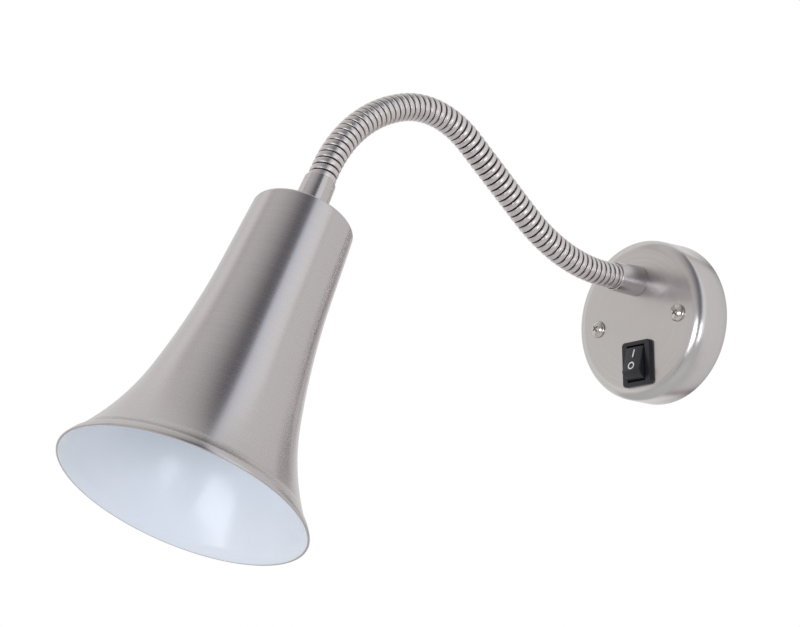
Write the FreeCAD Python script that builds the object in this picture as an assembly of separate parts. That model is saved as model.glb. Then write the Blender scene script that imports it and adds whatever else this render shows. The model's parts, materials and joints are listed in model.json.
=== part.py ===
import FreeCAD, Part
import math
import os
from FreeCAD import Rotation, Vector

os.makedirs("parts", exist_ok=True)

# Bedside wall reading lamp. Millimetres, +Z up. The wall is the plane y = 0 and the lamp stands out
# towards -Y. The origin is the centre of the round wall plate, on the wall.

# ---- fineness: flats that stand for the round of turned and wound pieces ---------------------------
LARGE_SIDES = 56          # plate and shade
COLLAR_SIDES = 28         # ferrules
HOLDER_SIDES = 20         # holder and bulb, deep inside the shade
SMALL_SIDES = 16          # screws and holes
NECK_SIDES = 14           # ribs of the neck
CABLE_SIDES = 8
CORE_SIDES = 6

# ---- wall plate -----------------------------------------------------------------------------------
PLATE_R = 37.5            # radius of the side wall
PLATE_DRAFT = 0.25        # the side wall widens by this much towards the wall
PLATE_DEPTH = 18.5
PLATE_EDGE_R = 5.0        # rounding between face and side
PLATE_WALL = 1.2
ROUND_STEPS = 4           # flats along a rounded edge of a turned piece

# ---- cover screws, M4, and the bracket they screw into ---------------------------------------------
SCREW_X = 24.0
SCREW_Z = -1.0
SCREW_R = 2.0
SCREW_HEAD_R = 4.0
SCREW_HEAD_H = 2.5
SCREW_LENGTH = 10.5       # under the head
SCREW_RECESS_W = 0.9      # width of each arm of the cross recess
SCREW_RECESS_SPAN = 4.6
SCREW_RECESS_DEPTH = 1.5
SLOT_R = 2.9              # the slots let the plate be turned level
SLOT_RUN = 2.2
SLOT_ANGLE = 225.0        # direction in which a slot runs from its screw, from +X towards +Z

BRACKET_T = 1.5
BRACKET_W = 12.0
BRACKET_FOOT = 34.0       # length of the part that lies on the wall
BRACKET_SPAN = 60.0
BRACKET_LIFT = 9.0        # back of the raised ends, from the wall
BRACKET_BEND_R = 1.0      # inside
WALL_HOLE_R = 2.5
WALL_HOLE_Z = 0.0
WALL_HOLE_X = 12.0
CABLE_ENTRY_R = 4.5
THREAD_FIT = 0.03         # radial, between a screw and its tapped hole

# ---- hollow M10 threads and their nuts -------------------------------------------------------------
THREAD_R = 5.0
THREAD_BORE_R = 3.3
THREAD_ROOM = 0.1         # radial, of the holes that an M10 thread passes through
NUT_FLATS = 14.0
NUT_H = 3.5

# ---- flexible neck ---------------------------------------------------------------------------------
NECK_Z = 18.0             # height of its fixing above the plate's centre
NECK_CREST_R = 5.95
NECK_ROOT_R = 5.45
NECK_BORE_R = 3.6
RIB_PITCH = 3.1
RIB_FLANK = 0.7
END_RIBS = 8              # ribs of the first and of the last stretch
LINK_RIBS = 7
LINKS = 8
NECK_INSERT = 7.0         # how deep each end sits in its ferrule
STRAIGHT_RIBS = 4         # ribs before the neck starts to bend, at each end
RISE_RIBS, RISE_TURN = 18, 38.3
CREST_RIBS, CREST_TURN = 13, 54.5
DROP_RIBS, DROP_TURN = 19, 47.6
CUP_GAP = 0.05            # running gap between a stretch's ball end and the next one's cup
CUP_LAND = 0.1            # flat left round the rim of a cup
BALL_LAND = 0.15          # flat left round the bore at the tip of a ball end

# ---- ferrules --------------------------------------------------------------------------------------
BASE_FERRULE_L = 15.9
SHADE_FERRULE_L = 19.5
FERRULE_FOOT_R = 7.2
FERRULE_TOP_R = 6.55
FERRULE_EDGE_R = 0.8
FERRULE_FIT = 0.05        # radial, round the neck's ribs
SPIGOT_L = 9.0            # threaded length behind the plate's face and inside the shade

# ---- rocker switch ---------------------------------------------------------------------------------
SWITCH_Z = -21.0
BEZEL_W, BEZEL_H, BEZEL_T = 16.9, 21.0, 1.9
BEZEL_CORNER_R = 1.8
BEZEL_EDGE = 0.4
BODY_W, BODY_H = 14.4, 19.0
BODY_DEPTH = 9.0          # behind the plate's face
BODY_FLOOR = 1.5
CUTOUT_ROOM = 0.2         # round the body in the plate's cut-out
PADDLE_ROOM = 0.3         # between paddle and frame, on each side and at each end
PADDLE_W = 10.0
PADDLE_HALF = 6.1
PADDLE_V = 2.5            # slope of each half of the paddle's hollow face
PADDLE_TILT = 18.0        # it stands this far to either side of level
PIVOT_DEPTH = 2.9         # pivot below the bezel's front
PADDLE_PROUD = 2.4        # middle of the paddle's face, in front of the bezel when level
PIN_R = 1.2
PIN_FIT = 0.05
PIN_L = 0.8               # how far each pivot pin enters the frame
PADDLE_KEEL = 4.5         # depth of the paddle behind its pivot
PADDLE_KEEL_HALF = 2.6
PADDLE_END_BACK = 8.0     # how far its round ends run on behind the pivot, degrees
BLADE_W, BLADE_T, BLADE_L = 4.8, 0.8, 4.0
BLADE_PITCH = 8.0
SNAP_H, SNAP_W, SNAP_BULGE = 5.0, 3.0, 0.7

# ---- shade, measured along its axis from the seat on its ferrule -----------------------------------
SHADE_L = 128.0
SHADE_WALL = 1.0
CROWN_R = 21.2            # of the flat crown, over its rounded edge
CROWN_EDGE_R = 1.5
BELL_STEPS = 3            # flats along the last flare
BODY_END = 30.0
BODY_FLARE = 3.2          # slope of the nearly straight body, degrees
BELL_MID, BELL_MID_FLARE = 85.0, 12.0
BELL_END, BELL_FLARE = 120.0, 31.5
LIP_L = 3.6
LIP_PROUD = 0.7

# ---- lamp holder and bulb, along the shade's axis --------------------------------------------------
HOLDER_NECK_R = 8.0
HOLDER_NECK_L = 2.5
HOLDER_R = 14.0
HOLDER_SKIRT_L = 1.5      # straight edge of the cap, over the body
HOLDER_L = 28.0
HOLDER_WALL = 1.6
HOLDER_FLOOR = 4.0
HOLDER_ROOM = 0.3         # between the nut under the shade's crown and the holder's cap
SLEEVE_R = 7.4            # outside of the socket's metal sleeve
SLEEVE_T = 0.35
SLEEVE_L = 22.0
BULB_THREAD_R = 6.8
BULB_THREAD_L = 20.0
BULB_TIP_R = 3.0
BULB_TIP_L = 1.6
BULB_SHOULDER = 35.0      # where the globe leaves its neck, degrees round from its lowest point
BULB_R = 22.5
BULB_L = 51.0             # out of the holder
BULB_WALL = 0.8
BULB_STEPS = 7

# ---- terminals and wiring --------------------------------------------------------------------------
BLOCK_W, BLOCK_D, BLOCK_H = 14.0, 9.0, 12.0
BLOCK_X, BLOCK_Z = -17.5, 14.5
BLOCK_BORE_R = 1.2
BLOCK_SCREW_R = 1.5
BLOCK_SCREW_SINK = 0.5
BLOCK_POLE = 7.0
TAG_R = 8.2
TAG_T = 0.8
TAG_X = 9.2               # inner face of its upright
TAG_W = 8.0
TAG_RISE = 9.5            # from the plate's back
EARTH_SCREW_R = 1.75
EARTH_SCREW_L = 3.0
EARTH_HEAD_R, EARTH_HEAD_H = 3.2, 2.2
CABLE_R = 2.5
CORE_R = 0.9
CORE_OFF = 1.2            # of each core from the middle of the cable
CORE_BEND_STEPS = 3
CABLE_TAIL = 3.0          # sheath past the end of the base ferrule's thread
CORE_DEPTH = 4.2          # in front of the wall, where the cores run down

AXIS_X = Vector(1, 0, 0)
AXIS_Y = Vector(0, 1, 0)      # into the wall
AXIS_Z = Vector(0, 0, 1)
FORWARD = Vector(0, -1, 0)    # out of the wall
FACE = -PLATE_DEPTH           # y of the plate's face
BEHIND = FACE + PLATE_WALL    # y of the plate's inner face


def export(name, *solids):
    """One STEP file for a node, of one solid or of a group of separate ones."""
    shape = solids[0] if len(solids) == 1 else Part.makeCompound(list(solids))
    print(name, shape.isValid(), round(sum(s.Volume for s in shape.Solids), 2), len(shape.Faces))
    shape.exportStep("parts/" + name + ".step")


# ---- solids of flat facets -------------------------------------------------------------------------
def ring(centre, direction, radius, sides, side=AXIS_X):
    """The corners of a regular polygon square to a direction, evenly placed about side, which is square
    to it too."""
    up = direction.cross(side)
    angles = [2 * math.pi * (k + 0.5) / sides for k in range(sides)]
    return [centre + side * (radius * math.cos(a)) + up * (radius * math.sin(a)) for a in angles]


def patch(a, b, c, d):
    """One flat face through four corners, or two triangles where they don't lie in one plane."""
    if abs((b - a).cross(c - a).normalize().dot(d - a)) < 1e-6:
        return [Part.Face(Part.makePolygon([a, b, c, d, a]))]
    return [Part.Face(Part.makePolygon([a, b, c, a])), Part.Face(Part.makePolygon([a, c, d, a]))]


def skinned(rings, hollow):
    """A solid with a band of facets between each ring and the next. A hollow one runs on from its last
    ring to its first; any other is closed with a flat end at each."""
    pairs = list(zip(rings, rings[1:]))
    if hollow:
        pairs.append((rings[-1], rings[0]))
        faces = []
    else:
        faces = [Part.Face(Part.makePolygon(r + r[:1])) for r in (rings[0], rings[-1])]
    for p, q in pairs:
        for k in range(len(p)):
            n = (k + 1) % len(p)
            faces += patch(p[k], p[n], q[n], q[k])
    solid = Part.Solid(Part.Shell(faces))
    if solid.Volume < 0:
        solid.reverse()
    return solid


def arc(centre, radius, start, end, steps=ROUND_STEPS):
    """Points of an outline (r, s) on an arc, from one angle to another, in even steps."""
    angles = [math.radians(start + (end - start) * k / steps) for k in range(steps + 1)]
    return [(centre[0] + radius * math.cos(a), centre[1] + radius * math.sin(a)) for a in angles]


def turned(points, place, direction, sides, hollow=False):
    """A turned solid: the outline (r, s) about the axis that starts at place and runs along direction,
    which lies in the plane x = 0."""
    return skinned([ring(place + direction * s, direction, r, sides) for r, s in points], hollow)


def round_hole(radius, sides):
    """The radius of a polygon's corners whose flats lie on a circle."""
    return radius / math.cos(math.pi / sides)


def peg(radius, length, base, direction=FORWARD, side=AXIS_X):
    """A small round rod."""
    ends = [ring(base + direction * s, direction, radius, SMALL_SIDES, side) for s in (0, length)]
    return skinned(ends, False)


def drill(radius, length, base, direction=FORWARD, side=AXIS_X):
    """A rod to cut a small round hole with."""
    return peg(round_hole(radius, SMALL_SIDES), length, base, direction, side)


def box(width, height, y_front, y_back, x, z):
    """A box by its width along X, its height along Z and where it starts and ends before the wall."""
    return Part.makeBox(width, y_back - y_front, height, Vector(x - width / 2, y_front, z - height / 2))


# ---- the neck's path, rib by rib -------------------------------------------------------------------
def heading(degrees):
    """Away from the wall, raised by an angle."""
    a = math.radians(degrees)
    return Vector(0, -math.cos(a), math.sin(a))


NECK_RIBS = 2 * END_RIBS + LINKS * LINK_RIBS
CLIMB_RIBS = NECK_RIBS - 2 * STRAIGHT_RIBS - RISE_RIBS - CREST_RIBS - DROP_RIBS


def neck_grooves():
    """Centre and heading of every groove, from the seat in the base ferrule to the seat in the shade
    ferrule. Each rib takes an equal share of its bend and steps along the mean of its two headings."""
    centre, angle = Vector(0, -PLATE_DEPTH - BASE_FERRULE_L + NECK_INSERT, NECK_Z), 0.0
    grooves = [(centre, angle)]
    for ribs, turn in ((STRAIGHT_RIBS, 0.0), (RISE_RIBS, RISE_TURN), (CLIMB_RIBS, 0.0),
                       (CREST_RIBS, -CREST_TURN), (DROP_RIBS, -DROP_TURN), (STRAIGHT_RIBS, 0.0)):
        for _ in range(ribs):
            centre = centre + heading(angle + turn / ribs / 2) * RIB_PITCH
            angle += turn / ribs
            grooves.append((centre, angle))
    return grooves


GROOVES = neck_grooves()


def neck_ring(groove, ahead, radius, sides=NECK_SIDES):
    """A ring square to the neck at a groove, moved ahead along the neck's heading there."""
    centre, angle = GROOVES[groove]
    return ring(centre + heading(angle) * ahead, heading(angle), radius, sides)


# A stretch ends in a ball whose centre lies PIVOT_BACK behind its last groove. The ball passes through
# the last crest and the last groove, so the next stretch's cup can ride over it without touching.
PIVOT_BACK = ((NECK_CREST_R ** 2 - NECK_ROOT_R ** 2) / RIB_FLANK + RIB_FLANK) / 2
BALL_R = math.hypot(PIVOT_BACK, NECK_ROOT_R)
BALL_TIP_R = NECK_BORE_R + BALL_LAND
BALL_TIP = math.sqrt(BALL_R ** 2 - BALL_TIP_R ** 2) - PIVOT_BACK
# The cup is a cone round that ball: it touches a slightly larger ball half way across the wall.
CUP_R = (BALL_R + CUP_GAP) / math.cos(math.pi / NECK_SIDES)
CUP_SLOPE = math.asin((NECK_ROOT_R + NECK_BORE_R) / 2 / CUP_R)


def cup_depth(radius):
    """How far past the last groove of the stretch before it the cup's cone has that radius."""
    return (CUP_R - radius * math.sin(CUP_SLOPE)) / math.cos(CUP_SLOPE) - PIVOT_BACK


def neck_stretch(first, last, cup, ball):
    """A stretch of ribbed tube from one groove to another: a cup at its near end, where it rides on the
    stretch before, and a ball at its far end, where it carries the next one."""
    rim = cup_depth(NECK_ROOT_R) + CUP_LAND if cup else 0.0
    rings = [neck_ring(first, rim, NECK_ROOT_R), neck_ring(first, max(RIB_FLANK, rim), NECK_CREST_R)]
    for g in range(first + 1, last):
        rings += [neck_ring(g, -RIB_FLANK, NECK_CREST_R), neck_ring(g, 0, NECK_ROOT_R),
                  neck_ring(g, RIB_FLANK, NECK_CREST_R)]
    rings += [neck_ring(last, -RIB_FLANK, NECK_CREST_R), neck_ring(last, 0, NECK_ROOT_R)]
    if ball:
        rings += [neck_ring(last, BALL_TIP, BALL_TIP_R), neck_ring(last, BALL_TIP, NECK_BORE_R)]
    else:
        rings.append(neck_ring(last, 0, NECK_BORE_R))
    rings += [neck_ring(g, 0, NECK_BORE_R) for g in range(last - 2, first + 1, -2)]
    if cup:
        rings += [neck_ring(first, cup_depth(r), r) for r in (NECK_BORE_R, NECK_ROOT_R)]
    else:
        rings.append(neck_ring(first, 0, NECK_BORE_R))
    return skinned(rings, True)


def neck():
    """The whole neck, as the stretches from the base ferrule to the shade ferrule."""
    ends = [END_RIBS + k * LINK_RIBS for k in range(LINKS + 1)]
    export("neck_root", neck_stretch(0, ends[0], False, True))
    for k in range(LINKS):
        export("neck_link_%d" % (k + 1), neck_stretch(ends[k], ends[k + 1], True, True))
    export("neck_tip", neck_stretch(ends[-1], NECK_RIBS, True, False))
    for groove in ends:
        centre, angle = GROOVES[groove]
        pivot = centre - heading(angle) * PIVOT_BACK
        print("pivot", round(pivot.y, 4), round(pivot.z, 4), "heading", round(angle, 4))


# ---- wall plate and what fixes it ------------------------------------------------------------------
def slot(x, y_front, y_back):
    """The opening of one cover screw: two rounds and the run between them."""
    length = y_back - y_front
    run = Rotation(FORWARD, SLOT_ANGLE).multVec(AXIS_X) * SLOT_RUN
    start = Vector(x, y_back, SCREW_Z)
    rounds = [drill(SLOT_R, length, start + run * k, side=run.normalize()) for k in (0, SLOT_RUN)]
    middle = Part.makeBox(SLOT_RUN, length, 2 * SLOT_R, Vector(0, -length, -SLOT_R))
    middle.rotate(Vector(), FORWARD, SLOT_ANGLE)
    middle.translate(start)
    return rounds[0].fuse([rounds[1], middle])


def wall_plate():
    t, rear = PLATE_WALL, PLATE_R + PLATE_DRAFT
    edge = (PLATE_R - PLATE_EDGE_R, PLATE_DEPTH - PLATE_EDGE_R)
    points = arc(edge, PLATE_EDGE_R, 90, 0) + [(rear, 0), (rear - t, 0)]
    points += arc(edge, PLATE_EDGE_R - t, 0, 90)
    plate = turned(points, Vector(), FORWARD, LARGE_SIDES)
    front, back = FACE - t, BEHIND + t
    plate = plate.cut(drill(THREAD_R + THREAD_ROOM, back - front, Vector(0, back, NECK_Z)))
    for x in (-SCREW_X, SCREW_X):
        plate = plate.cut(slot(x, front, back))
    plate = plate.cut(box(BODY_W + 2 * CUTOUT_ROOM, BODY_H + 2 * CUTOUT_ROOM, front, back, 0, SWITCH_Z))
    export("wall_plate", plate)


def wall_bracket():
    """A strap bent up at both ends: its foot lies on the wall, its raised ends take the screws."""
    end, foot, lift, t = BRACKET_SPAN / 2, BRACKET_FOOT / 2, BRACKET_LIFT, BRACKET_T
    right = [(foot - t, t), (foot - t, lift + t), (end, lift + t), (end, lift), (foot, lift), (foot, 0)]
    outline = right + [(-x, d) for x, d in reversed(right)]
    corners = [Vector(x, -d, SCREW_Z - BRACKET_W / 2) for x, d in outline]
    strap = Part.Face(Part.makePolygon(corners + corners[:1])).extrude(Vector(0, 0, BRACKET_W))
    for radius, places in ((BRACKET_BEND_R, ((foot - t, t), (foot, lift))),
                           (BRACKET_BEND_R + t, ((foot - t, lift + t), (foot, 0)))):
        bends = [e for e in strap.Edges for x, d in places
                 if abs(abs(e.CenterOfMass.x) - x) < 0.01 and abs(e.CenterOfMass.y + d) < 0.01
                 and abs(e.CenterOfMass.z - SCREW_Z) < 0.01]
        strap = strap.makeFillet(radius, bends)
    for x in (-WALL_HOLE_X, WALL_HOLE_X):
        strap = strap.cut(Part.makeCylinder(WALL_HOLE_R, 3 * t, Vector(x, t, WALL_HOLE_Z), FORWARD))
    strap = strap.cut(drill(CABLE_ENTRY_R, 3 * t, Vector(0, t, SCREW_Z)))
    for x in (-SCREW_X, SCREW_X):
        strap = strap.cut(drill(SCREW_R + THREAD_FIT, 3 * t, Vector(x, t - lift, SCREW_Z)))
    export("wall_bracket", strap)


def cover_screw(x):
    """A pan-head screw with its cross recess, its head on the plate's face."""
    dome = 0.45 * SCREW_HEAD_R
    sag_r = (SCREW_HEAD_R ** 2 + dome ** 2) / (2 * dome)
    edge = 90 - math.degrees(math.asin(SCREW_HEAD_R / sag_r))
    points = [(SCREW_R, -SCREW_LENGTH), (SCREW_R, 0), (SCREW_HEAD_R, 0)]
    points += arc((0, SCREW_HEAD_H - sag_r), sag_r, edge, 90, 3)[:-1]
    seat = Vector(x, FACE, SCREW_Z)
    screw = turned(points, seat, FORWARD, SMALL_SIDES)
    for turn in (30, 120):
        arm = box(SCREW_RECESS_SPAN, SCREW_RECESS_W, -SCREW_HEAD_H, SCREW_RECESS_DEPTH - SCREW_HEAD_H, 0, 0)
        arm.rotate(Vector(), FORWARD, turn)
        arm.translate(seat)
        screw = screw.cut(arm)
    return screw


def hex_nut(front, direction):
    """A thin nut on an M10 thread, its front face at a point and its body along direction."""
    corners = ring(front, direction, NUT_FLATS / math.sqrt(3), 6)
    nut = Part.Face(Part.makePolygon(corners + corners[:1])).extrude(direction * NUT_H)
    return nut.cut(drill(THREAD_R + THREAD_FIT, 3 * NUT_H, front - direction * NUT_H, direction))


def ferrule(foot, direction, length):
    """A turned collar on its seat, with a hollow thread behind it and the neck's socket in its top."""
    socket = round_hole(NECK_CREST_R + FERRULE_FIT, COLLAR_SIDES)
    edge = (FERRULE_FOOT_R - FERRULE_EDGE_R, FERRULE_EDGE_R)
    points = [(THREAD_BORE_R, -SPIGOT_L), (THREAD_R, -SPIGOT_L), (THREAD_R, 0)]
    points += arc(edge, FERRULE_EDGE_R, -90, 0, 2)
    points += [(FERRULE_TOP_R, length), (socket, length), (socket, length - NECK_INSERT),
               (THREAD_BORE_R, length - NECK_INSERT)]
    return turned(points, foot, direction, COLLAR_SIDES, True)


# ---- earth terminal on the base ferrule's thread ---------------------------------------------------
EARTH_SCREW_Y = BEHIND + TAG_RISE - TAG_W / 2


def earth_tag():
    """A ring under the nut, with an upright that is tapped for the earth screw."""
    flat = peg(TAG_R, TAG_T, Vector(0, BEHIND, NECK_Z), AXIS_Y)
    tongue = box(TAG_X + TAG_T, TAG_W, BEHIND, BEHIND + TAG_T, (TAG_X + TAG_T) / 2, NECK_Z)
    upright = box(TAG_T, TAG_W, BEHIND, BEHIND + TAG_RISE, TAG_X + TAG_T / 2, NECK_Z)
    tag = flat.fuse([tongue, upright]).removeSplitter()
    tag = tag.cut(drill(THREAD_R + THREAD_ROOM, 3 * TAG_T, Vector(0, BEHIND - TAG_T, NECK_Z), AXIS_Y))
    start = Vector(TAG_X - TAG_T, EARTH_SCREW_Y, NECK_Z)
    tag = tag.cut(drill(EARTH_SCREW_R + THREAD_FIT, 3 * TAG_T, start, AXIS_X, AXIS_Y))
    export("earth_tag", tag)
    seat = Vector(TAG_X + TAG_T, EARTH_SCREW_Y, NECK_Z)
    shank = peg(EARTH_SCREW_R, EARTH_SCREW_L, seat - AXIS_X * EARTH_SCREW_L, AXIS_X, AXIS_Y)
    export("earth_screw", shank.fuse(peg(EARTH_HEAD_R, EARTH_HEAD_H, seat, AXIS_X, AXIS_Y)))


# ---- rocker switch ---------------------------------------------------------------------------------
BEZEL_FRONT = FACE - BEZEL_T
BODY_REAR = FACE + BODY_DEPTH
PADDLE_PIVOT = Vector(0, BEZEL_FRONT + PIVOT_DEPTH, SWITCH_Z)
PADDLE_MIDDLE = PIVOT_DEPTH + PADDLE_PROUD
PADDLE_REACH = PADDLE_MIDDLE + PADDLE_HALF * math.tan(math.radians(PADDLE_V))
PADDLE_END_R = math.hypot(PADDLE_REACH, PADDLE_HALF)
FRAME_W = PADDLE_W + 2 * PADDLE_ROOM
FRAME_H = 2 * (PADDLE_END_R + PADDLE_ROOM)


def switch_body():
    """Bezel and housing, open to the front for the paddle, with a snap on each side."""
    bezel = box(BEZEL_W, BEZEL_H, BEZEL_FRONT, FACE, 0, SWITCH_Z)
    bezel = bezel.makeFillet(BEZEL_CORNER_R, [e for e in bezel.Edges if abs(e.CenterOfMass.z - SWITCH_Z) > 1
                                              and abs(e.CenterOfMass.x) > 1])
    bezel = bezel.makeChamfer(BEZEL_EDGE, [e for e in bezel.Edges if e.BoundBox.YMax < BEZEL_FRONT + 0.01])
    body = bezel.fuse(box(BODY_W, BODY_H, FACE, BODY_REAR, 0, SWITCH_Z))
    snap_front = BEHIND + CUTOUT_ROOM
    for side in (-1, 1):
        x = side * BODY_W / 2
        tip = x + side * (SNAP_BULGE + CUTOUT_ROOM)
        corners = [Vector(x, snap_front, 0), Vector(tip, snap_front + SNAP_BULGE, 0),
                   Vector(x, snap_front + SNAP_H, 0)]
        wedge = Part.Face(Part.makePolygon(corners + corners[:1])).extrude(Vector(0, 0, SNAP_W))
        wedge.translate(Vector(0, 0, SWITCH_Z - SNAP_W / 2))
        body = body.fuse(wedge)
    body = body.cut(box(FRAME_W, FRAME_H, BEZEL_FRONT - 1, BODY_REAR - BODY_FLOOR, 0, SWITCH_Z))
    reach = PADDLE_W / 2 + PIN_L + PIN_FIT
    body = body.cut(Part.makeCylinder(PIN_R + PIN_FIT, 2 * reach, PADDLE_PIVOT - AXIS_X * reach, AXIS_X))
    export("switch_body", body)


def rocker_paddle():
    """Drawn level about its pivot, with ends that are round about it, then tilted so that its upper end
    is pressed in."""
    corner = 90 + math.degrees(math.atan2(PADDLE_REACH, PADDLE_HALF))
    upper = arc((0, 0), PADDLE_END_R, corner, 90 - PADDLE_END_BACK) + [(PADDLE_KEEL, PADDLE_KEEL_HALF)]
    outline = [(-PADDLE_MIDDLE, 0.0)] + upper + [(y, -z) for y, z in reversed(upper)]
    corners = [Vector(-PADDLE_W / 2, y, z) for y, z in outline]
    paddle = Part.Face(Part.makePolygon(corners + corners[:1])).extrude(AXIS_X * PADDLE_W)
    reach = PADDLE_W / 2 + PIN_L
    paddle = paddle.fuse(Part.makeCylinder(PIN_R, 2 * reach, AXIS_X * -reach, AXIS_X))
    paddle.rotate(Vector(), AXIS_X, -PADDLE_TILT)
    paddle.translate(PADDLE_PIVOT)
    export("rocker_paddle", paddle)
    print("rocker pivot", round(PADDLE_PIVOT.y, 4), round(PADDLE_PIVOT.z, 4))


def blade_middle(k):
    """The middle of the upper (1) or the lower (0) blade of the switch."""
    return Vector(0, BODY_REAR + BLADE_L / 2, SWITCH_Z + (k - 0.5) * BLADE_PITCH)


def switch_terminals():
    blades = [box(BLADE_W, BLADE_T, BODY_REAR, BODY_REAR + BLADE_L, 0, blade_middle(k).z) for k in (0, 1)]
    export("switch_terminals", *blades)


# ---- shade, along its own axis ---------------------------------------------------------------------
NECK_SEAT, NECK_END_ANGLE = GROOVES[-1]
SHADE_AXIS = heading(NECK_END_ANGLE)
SHADE_SEAT = NECK_SEAT + SHADE_AXIS * (SHADE_FERRULE_L - NECK_INSERT)


def along(s):
    """A point on the shade's axis, s from its seat towards the mouth."""
    return SHADE_SEAT + SHADE_AXIS * s


def flare(start, slope, end_s, end_slope, steps):
    """An arc of the bell that leaves a point (r, s) at one slope and reaches s = end_s at another."""
    a, b = math.radians(slope), math.radians(end_slope)
    radius = (end_s - start[1]) / (math.sin(b) - math.sin(a))
    centre = (start[0] + radius * math.cos(a), start[1] - radius * math.sin(a))
    return arc(centre, radius, 180 - slope, 180 - end_slope, steps)[1:]


def bell(inset):
    """Half of the shade's section from its crown to its mouth, moved inwards by inset."""
    edge = (CROWN_R - CROWN_EDGE_R, CROWN_EDGE_R)
    points = [(round_hole(THREAD_R + THREAD_ROOM, LARGE_SIDES), inset)]
    points += arc(edge, CROWN_EDGE_R - inset, -90, 0, 3)
    waist = points[-1]
    slope = math.tan(math.radians(BODY_FLARE))
    points.append((waist[0] + (BODY_END - waist[1]) * slope, BODY_END))
    points += flare(points[-1], BODY_FLARE, BELL_MID, BELL_MID_FLARE, 2)
    points += flare(points[-1], BELL_MID_FLARE, BELL_END, BELL_FLARE, BELL_STEPS)
    slope = math.tan(math.radians(BELL_FLARE))
    points.append((points[-1][0] + (SHADE_L - BELL_END) * slope, SHADE_L))
    return points


def lamp_shade():
    """The bell with its crown's hole and the lip that is pressed out round its mouth."""
    outer, inner = bell(0.0), bell(SHADE_WALL)
    mouth = outer.pop()
    slope = math.tan(math.radians(BELL_FLARE))
    lip = (mouth[0] - LIP_L * slope, SHADE_L - LIP_L)
    points = outer + [lip, (lip[0] + LIP_PROUD, lip[1]), (mouth[0] + LIP_PROUD, SHADE_L)] + inner[::-1]
    export("lamp_shade", turned(points, SHADE_SEAT, SHADE_AXIS, LARGE_SIDES, True))
    print("shade seat", round(SHADE_SEAT.y, 4), round(SHADE_SEAT.z, 4), "axis", round(NECK_END_ANGLE, 4),
          "mouth", round(mouth[0], 3))


# ---- lamp holder and bulb, along the shade's axis --------------------------------------------------
HOLDER_AT = SHADE_WALL + NUT_H + HOLDER_ROOM
CAP_NECK_END = HOLDER_AT + HOLDER_NECK_L
CAP_FLARE_END = CAP_NECK_END + HOLDER_R - HOLDER_NECK_R
HOLDER_BODY_AT = CAP_FLARE_END + HOLDER_SKIRT_L
HOLDER_MOUTH = HOLDER_BODY_AT + HOLDER_L
HOLDER_FLOOR_AT = HOLDER_BODY_AT + HOLDER_FLOOR
BULB_THREAD_AT = HOLDER_MOUTH - BULB_THREAD_L
BULB_TIP_AT = BULB_THREAD_AT - BULB_TIP_L


def in_shade(points, hollow=False):
    """A turned piece on the shade's axis."""
    return turned(points, SHADE_SEAT, SHADE_AXIS, HOLDER_SIDES, hollow)


def lamp_holder():
    """Cap, body, threaded sleeve and centre contact of the screw holder."""
    t, a = HOLDER_WALL, HOLDER_AT
    bore = round_hole(THREAD_R + THREAD_FIT, HOLDER_SIDES)
    cap = [(bore, a), (HOLDER_NECK_R, a), (HOLDER_NECK_R, CAP_NECK_END), (HOLDER_R, CAP_FLARE_END),
           (HOLDER_R, HOLDER_BODY_AT), (HOLDER_R - t, HOLDER_BODY_AT), (HOLDER_R - t, CAP_FLARE_END + t / 2),
           (bore, CAP_NECK_END + t)]
    export("holder_cap", in_shade(cap, True))
    body = [(HOLDER_R, HOLDER_BODY_AT), (HOLDER_R, HOLDER_MOUTH - t), (HOLDER_R - t, HOLDER_MOUTH),
            (SLEEVE_R, HOLDER_MOUTH), (SLEEVE_R, HOLDER_FLOOR_AT)]
    export("holder_body", in_shade(body))
    start, end, inside = HOLDER_MOUTH - SLEEVE_L, HOLDER_MOUTH - t, SLEEVE_R - SLEEVE_T
    sleeve = [(inside, start), (SLEEVE_R, start), (SLEEVE_R, end), (inside, end)]
    export("holder_sleeve", in_shade(sleeve, True))
    contact = [(BULB_TIP_R, HOLDER_FLOOR_AT), (BULB_TIP_R, BULB_TIP_AT)]
    export("holder_contact", in_shade(contact))


def bulb():
    """A small screw bulb: its metal cap, and its globe as a shell that is open into the cap."""
    cap = [(BULB_TIP_R, BULB_TIP_AT), (BULB_THREAD_R, BULB_THREAD_AT), (BULB_THREAD_R, HOLDER_MOUTH)]
    export("bulb_cap", in_shade(cap))
    centre = (0, HOLDER_MOUTH + BULB_L - BULB_R)
    tip, neck_angle = 90 - 90 / BULB_STEPS, BULB_SHOULDER - 90
    outer = arc(centre, BULB_R, tip, neck_angle, BULB_STEPS) + [(BULB_THREAD_R, HOLDER_MOUTH)]
    inner = [(BULB_THREAD_R - BULB_WALL, HOLDER_MOUTH)]
    inner += arc(centre, BULB_R - BULB_WALL, neck_angle, tip, BULB_STEPS)
    export("bulb_globe", in_shade(outer + inner))


# ---- wiring ----------------------------------------------------------------------------------------
CABLE_START = Vector(0, FACE + SPIGOT_L + CABLE_TAIL, NECK_Z)
POLE_Y = BEHIND + BLOCK_D / 2


def neck_cable():
    """The cable on the neck's centre line, from behind the plate to the lamp holder."""
    rings = [ring(CABLE_START, FORWARD, CABLE_R, CABLE_SIDES)]
    rings += [neck_ring(g, 0, CABLE_R, CABLE_SIDES) for g in range(0, NECK_RIBS + 1, 2)]
    rings.append(ring(along(HOLDER_BODY_AT), SHADE_AXIS, CABLE_R, CABLE_SIDES))
    export("neck_cable", skinned(rings, False))


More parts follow.
